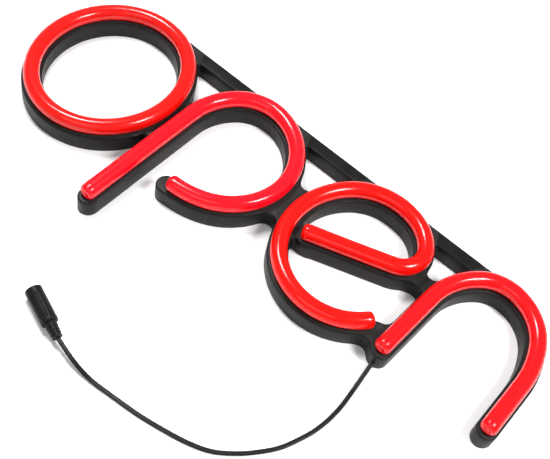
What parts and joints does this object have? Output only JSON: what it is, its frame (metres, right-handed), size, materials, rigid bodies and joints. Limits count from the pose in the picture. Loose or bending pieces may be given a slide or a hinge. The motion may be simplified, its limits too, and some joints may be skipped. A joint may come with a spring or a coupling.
{
  "type": "lighted word sign",
  "caption": "Flat lighted sign: red light tubes bent into lower-case letters on a black channel housing with a back bar, and a thin lead with a DC socket.",
  "frame": {"origin": "middle of the sign's bounding box at its flat rear face, without the lead", "axes": "+X along the word from left to right, +Y to the tops of the letters, +Z out of the front of the sign"},
  "size_m": [0.3716, 0.2109, 0.0206],
  "materials": {
    "black_moulding": "satin moulded black",
    "black_cover": "matte black",
    "red_light_tube": "glossy translucent red",
    "red_end_cap": "glossy translucent red",
    "strip_film": "white circuit film with lamps",
    "link_wire": "red insulated wire",
    "black_socket": "satin moulded black",
    "nickel_contact": "nickel plate",
    "socket_insulator": "matte black",
    "black_lead": "satin black twin lead",
    "cord_anchor": "natural hot-melt block"
  },
  "bodies": {
    "root": {"cord": "black_lead", "cord_anchor": "cord_anchor", "end_cap_e_end": "red_end_cap", "end_cap_e_start": "red_end_cap", "end_cap_n_end": "red_end_cap", "end_cap_n_start": "red_end_cap", "end_cap_p_end": "red_end_cap", "end_cap_p_start": "red_end_cap", "housing": "black_moulding", "led_strip_e": "strip_film", "led_strip_n": "strip_film", "led_strip_o": "strip_film", "led_strip_p": "strip_film", "light_tube_e": "red_light_tube", "light_tube_n": "red_light_tube", "light_tube_o": "red_light_tube", "light_tube_p": "red_light_tube", "link_wire_e_n": "link_wire", "link_wire_o_p": "link_wire", "link_wire_p_e": "link_wire", "rear_cover": "black_cover", "socket_body": "black_socket", "socket_boot": "black_socket", "socket_insulator": "socket_insulator", "socket_pin": "nickel_contact", "socket_sleeve": "nickel_contact"}
  },
  "joints": []
}
